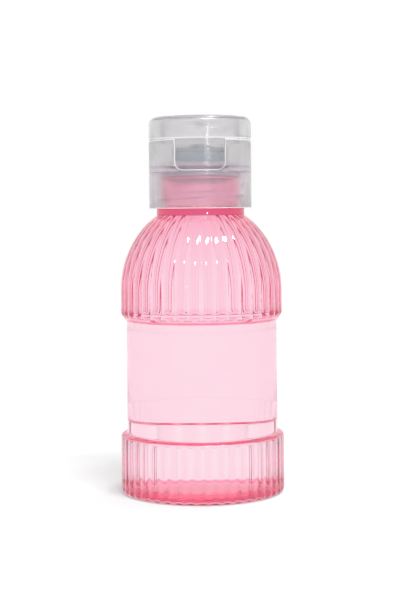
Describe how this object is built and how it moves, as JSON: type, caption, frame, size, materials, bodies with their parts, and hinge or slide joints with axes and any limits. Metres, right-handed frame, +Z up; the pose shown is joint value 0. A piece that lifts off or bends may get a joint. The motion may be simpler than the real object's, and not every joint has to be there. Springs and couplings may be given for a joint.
{
  "type": "cologne bottle",
  "caption": "Filled clear pink cologne bottle with ribbed foot and ribbed dome, and a screw-on translucent flip-top cap with spout, plug lid and living hinge.",
  "frame": {"origin": "middle of the foot ring, on the surface the bottle stands on", "axes": "+Z up along the bottle's axis; -Y to the front, where the thumb recess is; +Y to the lid hinge; +X to the right"},
  "size_m": [0.0476, 0.0476, 0.1094],
  "materials": {
    "pink_pet": "clear pink blow-moulded PET, glossy",
    "cologne": "clear liquid",
    "foam": "closed-cell polyethylene foam",
    "natural_pp": "natural translucent polypropylene, satin gloss"
  },
  "bodies": {
    "bottle": {"bottle_body": "pink_pet", "cologne": "cologne"},
    "seal": {"sealing_liner": "foam"},
    "cap": {"cap_base": "natural_pp", "hinge_film_left": "natural_pp", "hinge_film_right": "natural_pp", "snap_strap": "natural_pp"},
    "lid": {"flip_lid": "natural_pp"}
  },
  "joints": [
    {"name": "cap_lift", "type": "slide", "parent": "bottle", "child": "seal", "axis": [0, 0, 1], "range_m": [0, 0.00476]},
    {"name": "cap_turn", "type": "hinge", "parent": "seal", "child": "cap", "pos_m": [0, 0, 0.0918], "axis": [0, 0, 1], "range_deg": [0, 540]},
    {"name": "lid_flip", "type": "hinge", "parent": "cap", "child": "lid", "pos_m": [0, 0.01422, 0.1024], "axis": [-1, 0, 0], "range_deg": [0, 130], "deforming": ["hinge_film_left", "hinge_film_right", "snap_strap"]}
  ],
  "couplings": [
    {"joint": "cap_lift", "follows": "cap_turn", "m_per_rad": 0.00050532}
  ]
}
